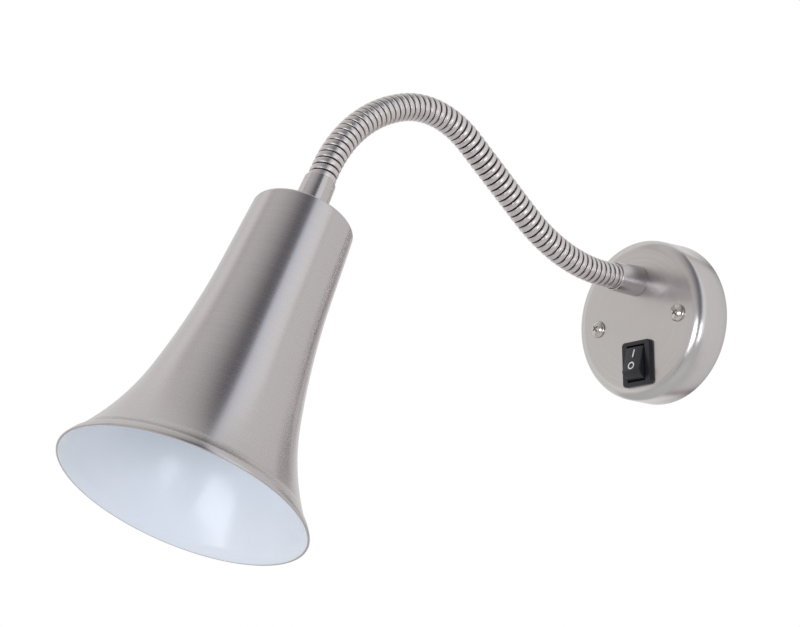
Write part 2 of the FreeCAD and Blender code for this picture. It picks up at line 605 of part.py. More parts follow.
def core(points):
    """A wire: straight runs between the points, with bends as wide as the runs allow."""
    frames = [(points[0], (points[1] - points[0]).normalize())]
    for before, here, after in zip(points, points[1:], points[2:]):
        u, v = (here - before).normalize(), (after - here).normalize()
        turn = u.getAngle(v)
        reach = 0.45 * min((here - before).Length, (after - here).Length)
        axis = u.cross(v).normalize()
        start = here - u * reach
        centre = start + axis.cross(u) * (reach / math.tan(turn / 2))
        for k in range(CORE_BEND_STEPS + 1):
            swing = Rotation(axis, math.degrees(turn) * k / CORE_BEND_STEPS)
            frames.append((centre + swing.multVec(start - centre), swing.multVec(u)))
    frames.append((points[-1], (points[-1] - points[-2]).normalize()))
    rings, side = [], frames[0][1].cross(Vector(1, 2, 3)).normalize()
    for place, direction in frames:
        side = (side - direction * side.dot(direction)).normalize()
        rings.append(ring(place, direction, CORE_R, CORE_SIDES, side))
    return skinned(rings, False)


def wires():
    """Live by way of the switch, neutral straight from the terminal block to the cable."""
    switched, neutral = (Vector(BLOCK_X + k * BLOCK_POLE, POLE_Y, BLOCK_Z) for k in (-0.5, 0.5))
    above, inside = BLOCK_H / 2, CORE_R * 2
    exit_r, exit_l = (CABLE_START + AXIS_X * (k * CORE_OFF) for k in (1, -1))
    out = AXIS_Y * (CABLE_TAIL)
    edge = AXIS_X * (BLADE_W / 2)
    upper, lower = blade_middle(1) - edge, blade_middle(0) + edge
    export("live_core", core([exit_r, exit_r + out, Vector(6.3, -CORE_DEPTH, 8), Vector(6.4, -CORE_DEPTH, -10),
                              Vector(13, -CORE_DEPTH, -20), lower + AXIS_X * 6, lower]))
    export("neutral_core", core([exit_l, exit_l + out, Vector(-9, -CORE_DEPTH, 27),
                                 neutral + Vector(0, 4, above + 7), neutral + Vector(0, 0, above + 4),
                                 neutral - Vector(0, 0, inside)]))
    export("switch_lead", core([switched - Vector(0, 0, inside), switched + Vector(0, 0, above + 2.5),
                                switched + Vector(-3, 7.5, above), Vector(-27, -CORE_DEPTH, 8),
                                Vector(-21.5, -CORE_DEPTH, -6), Vector(-14, -CORE_DEPTH, -14),
                                upper - AXIS_X * 6, upper]))


def terminal_block():
    """Two poles side by side, each with a bore for its wires and a screw from behind."""
    block = box(BLOCK_W, BLOCK_H, BEHIND, BEHIND + BLOCK_D, BLOCK_X, BLOCK_Z)
    screws = []
    for k in (-0.5, 0.5):
        x, back = BLOCK_X + k * BLOCK_POLE, BEHIND + BLOCK_D
        low = Vector(x, POLE_Y, BLOCK_Z - BLOCK_H / 2)
        block = block.cut(drill(BLOCK_BORE_R, BLOCK_H, low, AXIS_Z))
        block = block.cut(drill(BLOCK_SCREW_R + THREAD_FIT, BLOCK_D / 2, Vector(x, back, BLOCK_Z)))
        length = back - BLOCK_SCREW_SINK - POLE_Y - CORE_R
        screws.append(peg(BLOCK_SCREW_R, length, Vector(x, back - BLOCK_SCREW_SINK, BLOCK_Z)))
    export("terminal_block", block)
    export("terminal_screws", *screws)


def build():
    wall_plate()
    wall_bracket()
    export("cover_screws", cover_screw(-SCREW_X), cover_screw(SCREW_X))
    export("base_ferrule", ferrule(Vector(0, FACE, NECK_Z), FORWARD, BASE_FERRULE_L))
    earth_tag()
    export("neck_nut", hex_nut(Vector(0, BEHIND + TAG_T, NECK_Z), AXIS_Y))
    switch_body()
    rocker_paddle()
    switch_terminals()
    neck()
    export("shade_ferrule", ferrule(SHADE_SEAT, SHADE_AXIS * -1, SHADE_FERRULE_L))
    lamp_shade()
    export("shade_nut", hex_nut(along(SHADE_WALL), SHADE_AXIS))
    lamp_holder()
    bulb()
    neck_cable()
    wires()
    terminal_block()


build()
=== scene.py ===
# %% [markdown]
# # Bedside wall reading lamp
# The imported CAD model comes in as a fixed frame. What the camera sees of it is turned, wound and moulded
# here in finer form, and what stays as it is gets its finish. Sizes are in millimetres, as on a drawing,
# and turned to metres where a mesh is made.

# %% Load the frame
import bmesh
import bpy
import json
import math
from mathutils import Matrix, Vector


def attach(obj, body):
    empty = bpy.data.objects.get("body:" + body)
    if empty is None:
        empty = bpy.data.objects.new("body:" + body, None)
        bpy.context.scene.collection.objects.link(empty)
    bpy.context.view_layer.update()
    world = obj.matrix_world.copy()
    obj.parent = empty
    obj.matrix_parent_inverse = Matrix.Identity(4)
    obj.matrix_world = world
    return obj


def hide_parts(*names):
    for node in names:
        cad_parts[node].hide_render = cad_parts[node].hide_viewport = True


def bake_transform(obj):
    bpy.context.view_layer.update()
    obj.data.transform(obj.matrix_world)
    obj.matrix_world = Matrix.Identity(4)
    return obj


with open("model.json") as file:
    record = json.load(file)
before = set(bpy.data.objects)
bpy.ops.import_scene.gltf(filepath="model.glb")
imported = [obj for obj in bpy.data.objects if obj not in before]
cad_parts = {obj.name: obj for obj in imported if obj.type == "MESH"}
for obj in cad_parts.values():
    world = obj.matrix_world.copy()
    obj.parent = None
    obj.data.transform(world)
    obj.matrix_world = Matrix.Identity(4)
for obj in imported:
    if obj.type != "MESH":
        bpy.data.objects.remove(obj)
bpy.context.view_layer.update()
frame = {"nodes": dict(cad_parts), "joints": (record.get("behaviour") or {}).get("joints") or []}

pivots = {j["name"]: j for j in frame["joints"]}

# %% [markdown]
# The lamp stands out from the wall towards -Y. Two frames of reference are used all through: the plate's,
# about the Y axis, and the shade's, about a line that starts where the shade sits on its ferrule and runs
# to the middle of its mouth. Every turned piece is drawn as (radius, distance along its axis).

# %% Places and sizes taken over from the construction
MM = 0.001
PLATE_R, PLATE_DEPTH, PLATE_EDGE, PLATE_WALL = 37.5, 18.5, 5.0, 1.2
NECK_Z, BASE_FERRULE, SHADE_FERRULE, INSERT = 18.0, 15.9, 19.5, 7.0
SWITCH_Z = -21.0
RIB = 3.1
HOLDER_AT, BARREL_AT, CABLE_END = 4.8, 14.8, 6.5
SHADE_SEAT = Vector((0.0, -218.5161, 11.1777))
SHADE_ANGLE = math.radians(-63.8)
SHADE_AXIS = Vector((0, -math.cos(SHADE_ANGLE), math.sin(SHADE_ANGLE)))
OUT = Vector((0, -1, 0))
NECK_SEAT = Vector((0, -PLATE_DEPTH, NECK_Z))

# %% [markdown]
# ## Camera
# The photograph is taken from a little below the plate, to the right of the lamp. The view was worked out
# from the plate's round, the mouth's ellipse and the ribs of the neck, for a camera 0.9 m away. A long lens
# keeps the far shade and the near plate at nearly one scale.

# %% Camera
eye = bpy.data.cameras.new("photo_camera")
eye.sensor_width, eye.lens = 36.0, 87.664
camera = bpy.data.objects.new("photo_camera", eye)
bpy.context.collection.objects.link(camera)
right, up, back = (Vector((0.67447, 0.73829, -0.00526)), Vector((0.16402, -0.14288, 0.97605)),
                   Vector((0.71986, -0.65918, -0.21746)))
turn = Matrix((right, up, back)).transposed().to_4x4()
camera.matrix_world = Matrix.Translation(Vector((574.41, -692.98, -192.61)) * MM) @ turn
eye.clip_start, eye.clip_end = 0.01, 20.0
bpy.context.scene.camera = camera
print("camera at", [round(x, 3) for x in camera.location])

# %% [markdown]
# ## Making pieces by hand
# Turned, bent and moulded pieces all start the same way: one point is extruded along the outline, as on
# paper. The outline is then spun round an axis, as on a lathe, or filled and pushed through, as in a mould.
# All is deselected first, because an operator works on everything that is selected.

# %% Outlines, the lathe and the mould
def edit(piece):
    """Make a piece the only selected one and open it for editing."""
    bpy.ops.object.select_all(action="DESELECT")
    piece.select_set(True)
    bpy.context.view_layer.objects.active = piece
    bpy.ops.object.mode_set(mode="EDIT")
    bpy.ops.mesh.select_all(action="SELECT")


def done(piece, angle=35):
    """Close the editing of a piece, put its place into its mesh and shade it smooth up to an angle."""
    if bpy.context.object.mode == "EDIT":
        bpy.ops.object.mode_set(mode="OBJECT")
    bpy.ops.object.select_all(action="DESELECT")
    piece.select_set(True)
    bpy.context.view_layer.objects.active = piece
    bpy.ops.object.transform_apply(location=True, rotation=True, scale=True)
    if angle:
        bpy.ops.object.shade_smooth_by_angle(angle=math.radians(angle))
    return piece


def outline(name, points, closed):
    """A chain of edges through points in millimetres, extruded from one point. It stays open for editing."""
    bpy.ops.object.select_all(action="DESELECT")
    bpy.ops.mesh.primitive_plane_add(size=MM, location=points[0] * MM)
    piece = bpy.context.object
    piece.name = piece.data.name = name
    edit(piece)
    bpy.ops.mesh.merge(type="CENTER")
    for a, b in zip(points, points[1:]):
        bpy.ops.mesh.extrude_vertices_move(TRANSFORM_OT_translate={"value": (b - a) * MM})
    bpy.ops.mesh.select_all(action="SELECT")
    if closed:
        first, last = points[0] * MM, points[-1] * MM
        mesh = bmesh.from_edit_mesh(piece.data)
        for v in mesh.verts:
            v.select = min((v.co - p + piece.location).length for p in (first, last)) < 1e-7
        mesh.select_flush_mode()
        bmesh.update_edit_mesh(piece.data)
        bpy.ops.mesh.edge_face_add()
        bpy.ops.mesh.select_all(action="SELECT")
    return piece


def lathe(name, profile, seat, axis, sides=96, hollow=False, angle=35):
    """A turned piece: its profile (radius, along) is drawn beside the axis and spun round it."""
    beside = Vector((1, 0, 0))
    piece = outline(name, [seat + beside * r + axis * s for r, s in profile], hollow)
    bpy.ops.mesh.spin(steps=sides, angle=2 * math.pi, center=seat * MM, axis=axis)
    bpy.ops.mesh.select_all(action="SELECT")
    bpy.ops.mesh.remove_doubles(threshold=2e-6)
    bpy.ops.mesh.normals_make_consistent(inside=False)
    done(piece, angle)
    print(name, len(piece.data.polygons), "faces")
    return piece


def arc(centre, radius, start, end, steps):
    """Points of a profile on an arc between two angles in degrees."""
    turns = [math.radians(start + (end - start) * k / steps) for k in range(steps + 1)]
    return [(centre[0] + radius * math.cos(a), centre[1] + radius * math.sin(a)) for a in turns]


def apply_modifier(piece, kind, **settings):
    """Add a modifier, set it and apply it."""
    bpy.ops.object.select_all(action="DESELECT")
    piece.select_set(True)
    bpy.context.view_layer.objects.active = piece
    step = piece.modifiers.new(kind.title(), kind)
    for key, value in settings.items():
        setattr(step, key, value)
    bpy.ops.object.modifier_apply(modifier=step.name)
    return piece

# %% [markdown]
# ## Finishes
# One function adds a node with its settings and links, and one turns the hex colours of a paint card to
# the linear values that the shader works in.

# %% Nodes and colours
def linear(card):
    """An sRGB hex colour as linear red, green and blue, and full alpha."""
    parts = [int(card[k:k + 2], 16) / 255 for k in (1, 3, 5)]
    return [c / 12.92 if c <= 0.04045 else ((c + 0.055) / 1.055) ** 2.4 for c in parts] + [1.0]


def node(tree, kind, links=(), **settings):
    """Add a node. links are (input, source), where a source is a node's output or a plain value."""
    made = tree.nodes.new(kind)
    for key, value in settings.items():
        setattr(made, key, value)
    for socket, source in links:
        if isinstance(source, bpy.types.NodeSocket):
            tree.links.new(source, made.inputs[socket])
        else:
            made.inputs[socket].default_value = source
    return made


def finish(name, **sockets):
    """A new material with one Principled shader, and the shader's plain numbers set on its own sockets."""
    made = bpy.data.materials.new(name)
    made.use_nodes = True
    shader = made.node_tree.nodes["Principled BSDF"]
    for socket, value in sockets.items():
        shader.inputs[socket.replace("_", " ")].default_value = value
    return made, made.node_tree, shader


def paint(piece, *materials):
    piece.data.materials.clear()
    for material in materials:
        piece.data.materials.append(material)

# %% [markdown]
# ### Satin nickel
# Steel is plated with nickel, brushed on the lathe while it turns, and lacquered. The brush leaves fine
# rings, so a lamp's reflection is drawn out along the piece and stays narrow round it. The shader draws it
# out along its tangent. The cross product of the axis and the arm to the surface follows the rings, and a
# quarter turn of it runs along the piece. The ring lines are noise that changes fast along the axis and
# slowly round it. Real brush lines are about 0.05 mm wide, too fine to show, so these are drawn wider.

# %% Satin nickel
def satin_nickel(name, seat, axis, roughness=0.27, anisotropic=0.75, line=0.6, card="#D0CBCA"):
    made, tree, shader = finish(name, Metallic=1.0, Anisotropic=anisotropic, Anisotropic_Rotation=0.25)
    place = node(tree, "ShaderNodeTexCoord").outputs["Object"]
    arm = node(tree, "ShaderNodeVectorMath", [(0, place), (1, seat * MM)], operation="SUBTRACT")
    tangent = node(tree, "ShaderNodeVectorMath", [(0, axis), (1, arm.outputs[0])], operation="CROSS_PRODUCT")
    tangent = node(tree, "ShaderNodeVectorMath", [(0, tangent.outputs[0])], operation="NORMALIZE")
    tree.links.new(tangent.outputs[0], shader.inputs["Tangent"])
    height = node(tree, "ShaderNodeVectorMath", [(0, arm.outputs[0]), (1, axis)], operation="DOT_PRODUCT")
    across = node(tree, "ShaderNodeVectorMath", [(0, axis * -1), ("Scale", height.outputs["Value"])],
                  operation="SCALE")
    radial = node(tree, "ShaderNodeVectorMath", [(0, arm.outputs[0]), (1, across.outputs[0])],
                  operation="ADD")
    radius = node(tree, "ShaderNodeVectorMath", [(0, radial.outputs[0])], operation="LENGTH")
    lift = node(tree, "ShaderNodeMath", [(0, height.outputs["Value"]), (1, radius.outputs["Value"])],
                operation="ADD")
    rings = node(tree, "ShaderNodeCombineXYZ", [("X", lift.outputs[0])])
    drift = node(tree, "ShaderNodeVectorMath", [(0, radial.outputs[0]), ("Scale", 0.02)], operation="SCALE")
    where = node(tree, "ShaderNodeVectorMath", [(0, rings.outputs[0]), (1, drift.outputs[0])],
                 operation="ADD")
    brushed = node(tree, "ShaderNodeTexNoise", [("Vector", where.outputs[0]), ("Scale", 1 / (line * MM)),
                                                ("Detail", 3.0), ("Roughness", 0.7)])
    cloudy = node(tree, "ShaderNodeTexNoise", [("Vector", place), ("Scale", 1 / (22 * MM)), ("Detail", 2.0)])
    dark, light = [c * 0.86 for c in linear(card)[:3]] + [1.0], linear(card)
    tone = node(tree, "ShaderNodeMix", [(0, brushed.outputs["Fac"]), (6, dark), (7, light)],
                data_type="RGBA")
    tree.links.new(tone.outputs[2], shader.inputs["Base Color"])
    rough = node(tree, "ShaderNodeMath", [(0, brushed.outputs["Fac"]), (1, 0.10),
                                          (2, roughness - 0.08)], operation="MULTIPLY_ADD")
    rough = node(tree, "ShaderNodeMath", [(0, cloudy.outputs["Fac"]), (1, 0.06), (2, rough.outputs[0])],
                 operation="MULTIPLY_ADD")
    tree.links.new(rough.outputs[0], shader.inputs["Roughness"])
    relief = node(tree, "ShaderNodeBump", [("Height", brushed.outputs["Fac"]), ("Strength", 0.12),
                                           ("Distance", 0.02 * MM)])
    tree.links.new(relief.outputs[0], shader.inputs["Normal"])
    return made

# %% [markdown]
# ## Shade
# The shade is spun from a disc of steel over a bell-shaped block. Its crown stays flat where the ferrule
# sits, the crown's edge is rounded a little, and its wall opens slowly at first and then in a wide flare.
# A lip is rolled out round the mouth. It could be made from a cylinder scaled ring by ring, but one profile
# with the arcs of the real section keeps the highlight along the bell clean.

# %% Profile of the shade
WALL, LENGTH = 1.0, 128.0
CROWN, CROWN_EDGE, RUN_IN, THREAD_HOLE = 21.2, 1.5, 0.8, 5.1
BODY_SLOPE, BELL_SLOPE, MOUTH_SLOPE = 3.2, 12.0, 31.5
BODY_STEPS, BELL_MIDDLE, BELL_END, LIP_START = (10.0, 20.0, 30.0), 85.0, 120.0, 124.0


def slope(degrees):
    return math.tan(math.radians(degrees))


def flare(start, first, end, last, steps):
    """An arc of the bell from a point, at one slope, to a distance along the axis, at another slope."""
    a, b = math.radians(first), math.radians(last)
    radius = (end - start[1]) / (math.sin(b) - math.sin(a))
    centre = (start[0] + radius * math.cos(a), start[1] - radius * math.sin(a))
    return arc(centre, radius, 180 - first, 180 - last, steps)[1:]


def bell(inset):
    """The section of the shade from its crown to its mouth, moved inwards by inset."""
    points = [(THREAD_HOLE, inset), (CROWN - CROWN_EDGE - RUN_IN, inset)]
    points += arc((CROWN - CROWN_EDGE, CROWN_EDGE), CROWN_EDGE - inset, -90, 0, 8)
    points.append((points[-1][0] + RUN_IN * slope(BODY_SLOPE), CROWN_EDGE + RUN_IN))
    waist = points[-1]
    points += [(waist[0] + (s - waist[1]) * slope(BODY_SLOPE), s) for s in BODY_STEPS]
    points += flare(points[-1], BODY_SLOPE, BELL_MIDDLE, BELL_SLOPE, 10)
    points += flare(points[-1], BELL_SLOPE, BELL_END, MOUTH_SLOPE, 12)
    mouth = points[-1]
    return points + [(mouth[0] + (s - mouth[1]) * slope(MOUTH_SLOPE), s) for s in (LIP_START, LENGTH)]


outer, inner = bell(0.0), bell(WALL)
mouth_r = outer.pop()[0]
# Each point of the lip is its distance from the mouth, and how far it stands out from the wall's line.
lip = [(mouth_r - before * slope(MOUTH_SLOPE) + proud, LENGTH - before) for before, proud in (
    (3.7, 0.0), (3.6, 0.25), (3.45, 0.5), (3.2, 0.65), (2.9, 0.7), (1.8, 0.72), (0.8, 0.7), (0.3, 0.6),
    (0.07, 0.42), (0.0, 0.15), (0.0, -0.4))]
section = outer[:-1] + lip + [(inner[-1][0], LENGTH - 0.2)] + inner[:-1][::-1]
print("shade profile", len(section), "points, mouth", round(2 * mouth_r, 1), "mm")

# %% [markdown]
# The section is a closed ring of points, so the lathe makes a solid wall of it. Edges that turn more than
# 50 degrees stay crisp, and the rest are shaded smooth.

# %% Spin the shade
shade = lathe("bell_shade", section, SHADE_SEAT, SHADE_AXIS, sides=160, hollow=True, angle=50)

# %% [markdown]
# The inside is stove enamel over the steel: a smooth white coat with a cool cast, glossy enough to mirror
# the lamps. Sprayed enamel is never quite flat. Its orange peel is about 2 mm across and a few hundredths
# of a millimetre deep. It goes on the faces that look at the axis.

# %% White enamel inside the shade
enamel, tree, shader = finish("stove_enamel_white", Roughness=0.2, IOR=1.52)
place = node(tree, "ShaderNodeTexCoord").outputs["Object"]
peel = node(tree, "ShaderNodeTexNoise", [("Vector", place), ("Scale", 1 / (2 * MM)), ("Detail", 1.0)])
relief = node(tree, "ShaderNodeBump", [("Height", peel.outputs["Fac"]), ("Strength", 0.2),
                                       ("Distance", 0.03 * MM)])
tree.links.new(relief.outputs[0], shader.inputs["Normal"])
spray = node(tree, "ShaderNodeTexNoise", [("Vector", place), ("Scale", 1 / (40 * MM)), ("Detail", 1.0)])
tone = node(tree, "ShaderNodeMix", [(0, spray.outputs["Fac"]), (6, linear("#E2E9F1")),
                                    (7, linear("#EBF0F6"))], data_type="RGBA")
tree.links.new(tone.outputs[2], shader.inputs["Base Color"])

paint(shade, satin_nickel("satin_nickel_shade", SHADE_SEAT, SHADE_AXIS), enamel)
coated = 0
for face in shade.data.polygons:
    arm = face.center / MM - SHADE_SEAT
    radial = arm - SHADE_AXIS * arm.dot(SHADE_AXIS)
    if face.normal.dot(radial) < -0.2 * radial.length or (face.normal.dot(SHADE_AXIS) > 0.6
                                                          and arm.dot(SHADE_AXIS) < 100):
        face.material_index, coated = 1, coated + 1
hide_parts("lamp_shade")
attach(shade, "head")
print("enamelled faces", coated)

# %% [markdown]
# ## Wall plate
# The plate is a shallow spun cup with a rounded front edge. A ring of support points sits just inside the
# rounding, so that smooth shading stays on the rounding and the face looks flat. The flat itself is one
# polygon that fills the ring. Its holes are cut as a punch would: a round one for the neck's thread, two
# short slots for the screws, and one for the switch.

# %% Turn the plate
edge = (PLATE_R - PLATE_EDGE, PLATE_DEPTH - PLATE_EDGE)
front = [(edge[0] - 0.6, PLATE_DEPTH)] + arc(edge, PLATE_EDGE, 90, 0, 16)
side = [(PLATE_R + 0.02, edge[1] - 0.8), (PLATE_R + 0.25, 0.25), (PLATE_R + 0.1, 0.0),
        (PLATE_R + 0.25 - PLATE_WALL, 0.0)]
behind = arc(edge, PLATE_EDGE - PLATE_WALL, 0, 90, 8) + [(edge[0] - 0.6, PLATE_DEPTH - PLATE_WALL)]
plate = lathe("wall_cover", front + side + behind, Vector((0, 0, 0)), OUT, sides=160)
edit(plate)
bpy.ops.mesh.fill_holes(sides=0)
bpy.ops.mesh.normals_make_consistent(inside=False)
done(plate)

# %% [markdown]
# The boolean modifier cuts each hole with a rod or a block that stands in it. The slots are two rods and a
# block, as in the construction, so the screws can travel in them.

# %% Punch its holes
def rod(radius, length, middle, axis=OUT, sides=48):
    bpy.ops.object.select_all(action="DESELECT")
    lean = Vector((0, 0, 1)).rotation_difference(axis).to_euler()
    bpy.ops.mesh.primitive_cylinder_add(vertices=sides, radius=radius * MM, depth=length * MM,
                                        location=middle * MM, rotation=lean)
    return done(bpy.context.object, 0)


def block(width, depth, height, middle, turned=0.0):
    bpy.ops.object.select_all(action="DESELECT")
    bpy.ops.mesh.primitive_cube_add(size=MM, location=middle * MM, rotation=(0, turned, 0),
                                    scale=(width, depth, height))
    return done(bpy.context.object, 0)


def cut(piece, *cutters, operation="DIFFERENCE"):
    for cutter in cutters:
        apply_modifier(piece, "BOOLEAN", object=cutter, operation=operation, solver="EXACT")
        bpy.data.objects.remove(cutter)
    return piece


SLOT_R, SLOT_RUN = 2.9, Vector((-1.5556, 0, -1.5556))
SCREWS = [Vector((x, -PLATE_DEPTH, -1.0)) for x in (-24.0, 24.0)]
holes = [rod(5.1, 6, NECK_SEAT), block(14.8, 6, 19.4, Vector((0, -PLATE_DEPTH, SWITCH_Z)))]
for place in SCREWS:
    slot = rod(SLOT_R, 6, place)
    cut(slot, rod(SLOT_R, 6.2, place + SLOT_RUN),
        block(SLOT_RUN.length, 5.9, 2 * SLOT_R, place + SLOT_RUN / 2, math.radians(135)), operation="UNION")
    holes.append(slot)
cut(plate, *holes)
done(plate, 35)
for face in plate.data.polygons:
    face.use_smooth = abs(face.normal.y) < 0.999
paint(plate, satin_nickel("satin_nickel_plate", Vector((0, 0, 0)), OUT, roughness=0.25, anisotropic=0.6,
                          line=0.8, card="#D6D2D0"))
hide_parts("wall_plate")
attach(plate, "base")
print("plate faces", len(plate.data.polygons))

# %% [markdown]
# ## Ferrules
# Two turned collars hold the neck. Each tapers a little from its foot to the neck, has a small rounding at
# its foot that shows as a bright line beside a dark seam, and carries a hollow thread behind.

# %% Turn the ferrules
def collar(name, seat, axis, length, node_name, body):
    profile = [(3.3, -9.0), (4.7, -9.0), (5.0, -8.7), (5.0, -0.01), (6.9, 0.0)]
    profile += arc((6.75, 0.45), 0.45, -60, 0, 5) + [(7.16, 1.2), (6.62, length - 0.5)]
    profile += arc((6.17, length - 0.4), 0.4, 10, 90, 5) + [(6.02, length - 0.1), (6.02, length - INSERT),
                                                            (3.3, length - INSERT)]
    piece = lathe(name, profile, seat, axis, sides=96, hollow=True)
    paint(piece, satin_nickel("satin_nickel_" + name, seat, axis, roughness=0.24, anisotropic=0.7,
                              line=0.5))
    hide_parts(node_name)
    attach(piece, body)
    return piece


collar("plate_collar", NECK_SEAT, OUT, BASE_FERRULE, "base_ferrule", "base")
collar("shade_collar", SHADE_SEAT, SHADE_AXIS * -1, SHADE_FERRULE, "shade_ferrule", "head")

# %% [markdown]
# ## Flexible neck
# The neck is wound from two strips of plated steel: a wide one that shows as a round band, and a narrow one
# that fills the groove between the turns. Friction between them holds every bend. One turn of the winding
# is drawn as an outline, the screw modifier winds it, solidify gives the strip its thickness and the curve
# modifier lays it along the bent path. Rings would look alike, but only a helix is true to how it is made.

# %% The neck's path
RUNS = [(4, 0.0), (18, 38.3), (14, 0.0), (13, -54.5), (19, -47.6), (4, 0.0)]


def heading(degrees):
    a = math.radians(degrees)
    return Vector((0, -math.cos(a), math.sin(a)))


def neck_point(ribs):
    """The place and heading a number of ribs along the neck. Each rib steps along its mean heading."""
    place, angle, left = NECK_SEAT + OUT * (BASE_FERRULE - INSERT), 0.0, ribs
    for count, bend in RUNS:
        for _ in range(count):
            step = min(1.0, left)
            if step <= 0:
                return place, heading(angle)
            place = place + heading(angle + bend / count * step / 2) * (RIB * step)
            angle, left = angle + bend / count * step, left - step
    return place + heading(angle) * (RIB * left), heading(angle)


path = bpy.data.objects.new("neck_path", bpy.data.curves.new("neck_path", "CURVE"))
bpy.context.collection.objects.link(path)
path.data.dimensions, path.data.resolution_u = "3D", 64
line = path.data.splines.new("BEZIER")
line.bezier_points.add(len(RUNS))
walked, reach_before = 0, 0.0
for knot, (count, bend) in zip(line.bezier_points, RUNS + [(0, 0.0)]):
    place, way = neck_point(walked)
    share = math.radians(abs(bend))
    reach = RIB * count / 3 if share < 1e-6 else (
        4 / 3 * math.tan(share / 4) * RIB / (2 * math.sin(share / count / 2)))
    knot.handle_left_type = knot.handle_right_type = "FREE"
    knot.co, knot.handle_left, knot.handle_right = (p * MM for p in (place, place - way * reach_before,
                                                                     place + way * reach))
    walked, reach_before = walked + count, reach
print("neck", walked, "ribs,", walked * RIB, "mm")

# %% [markdown]
# The wound stretch is made in lengths that meet in the middle of the construction's links, each centred on
# one joint. Each length is laid along the bent path, so the neck makes a smooth curve, and its groove hides
# where two lengths meet. A length with both ends on one body rides with it, and the others are baked where
# they lie. The cable inside is made in the same lengths.

# %% Wind the neck and lay it on its path
BAND = [(0.0, 5.25), (0.25, 5.28), (0.42, 5.58), (0.6, 5.80), (0.9, 5.92), (1.3, 5.95), (1.75, 5.92),
        (2.05, 5.84), (2.2, 5.76), (2.35, 5.80), (2.6, 5.77), (2.76, 5.60), (2.92, 5.30), (RIB, 5.25)]
# The groove values set where the painted groove shade starts and how fast it deepens.
STRIP_T, GROOVE_SHADE_TOP, GROOVE_SHADE_FADE, CABLE_R = 0.35, 5.72, 0.3, 2.5


def lay(piece, near, far):
    """Bend a piece that lies along X onto the neck's path, and let it ride with its body when near and far
    are one.
    """
    apply_modifier(piece, "CURVE", object=path, deform_axis="POS_X")
    done(piece, 50)
    if near == far:
        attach(piece, near)
    return piece


def wound(name, first, turns):
    """Some turns of the strip, from a number of ribs along the neck."""
    start = Vector((first * RIB, 0, 0))
    piece = outline(name, [start + Vector((x, 0, r)) for x, r in BAND], False)
    done(piece, 0)
    apply_modifier(piece, "SCREW", axis="X", screw_offset=RIB * MM, iterations=turns, steps=40,
                   render_steps=40, use_merge_vertices=False)
    edit(piece)
    bpy.ops.mesh.remove_doubles(threshold=2e-6)
    bpy.ops.mesh.normals_make_consistent(inside=False)
    bpy.ops.object.mode_set(mode="OBJECT")
    apply_modifier(piece, "SOLIDIFY", thickness=STRIP_T * MM, offset=-1.0)
    # Depth into the groove, which the strip's finish turns into painted shade.
    depth = piece.data.attributes.new("groove", "FLOAT", "POINT")
    for v, value in zip(piece.data.vertices, depth.data):
        value.value = min(1.0, max(0.0, (GROOVE_SHADE_TOP - math.hypot(v.co.y, v.co.z) / MM) / GROOVE_SHADE_FADE))
    return piece


def sheath(name, first, last):
    """A length of the cable, between two distances along the neck in millimetres."""
    steps = max(4, round((last - first) / RIB))
    ends = [(first, CABLE_R * k / 2) for k in (0, 1)], [(last, CABLE_R * k / 2) for k in (1, 0)]
    runs = [(first + (last - first) * k / steps, CABLE_R) for k in range(steps + 1)]
    points = [Vector((x, 0, r)) for x, r in ends[0] + runs + ends[1]]
    piece = outline(name, points, False)
    bpy.ops.mesh.spin(steps=24, angle=2 * math.pi, center=(0, 0, 0), axis=(1, 0, 0))
    bpy.ops.mesh.select_all(action="SELECT")
    bpy.ops.mesh.remove_doubles(threshold=2e-6)
    bpy.ops.mesh.normals_make_consistent(inside=False)
    return done(piece, 0)


LINKS, FIRST_CUT, LINK_RIBS, LAST_CUT = 8, 4, 7, 71
chain = ["base"] + ["link_%d" % k for k in range(1, LINKS + 1)] + ["head"]
CUTS = [0] + [FIRST_CUT + LINK_RIBS * k for k in range(LINKS + 2)] + [LAST_CUT]
tail = PLATE_DEPTH + (BASE_FERRULE - INSERT) - CABLE_END
holder_end = SHADE_FERRULE - INSERT + BARREL_AT
neck_ribs = sum(count for count, bend in RUNS)
neck_parts, cable_parts = [], []
for k, (first, last) in enumerate(zip(CUTS, CUTS[1:])):
    near, far = (chain[k - 1], chain[k]) if 0 < k < len(chain) else (chain[min(k, LINKS + 1)],) * 2
    node_name = "neck_root" if k == 0 else "neck_tip" if k > LINKS else "neck_link_%d" % k
    strip = lay(wound("neck_winding_%d" % k, first, last - first), near, far)
    cable = lay(sheath("neck_cable_%d" % k, -tail if k == 0 else first * RIB,
                       neck_ribs * RIB + holder_end if last == LAST_CUT else last * RIB), near, far)
    if near != far:
        start, end = neck_point(first + 1.4)[0] * MM, neck_point(last - 0.6)[0] * MM
        for piece in (strip, cable):
            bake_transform(piece)
    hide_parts(node_name)
    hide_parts("neck_cable")
    neck_parts.append(strip)
    cable_parts.append(cable)
bpy.data.objects.remove(path)
print("neck lengths", len(neck_parts), "faces", sum(len(p.data.polygons) for p in neck_parts))
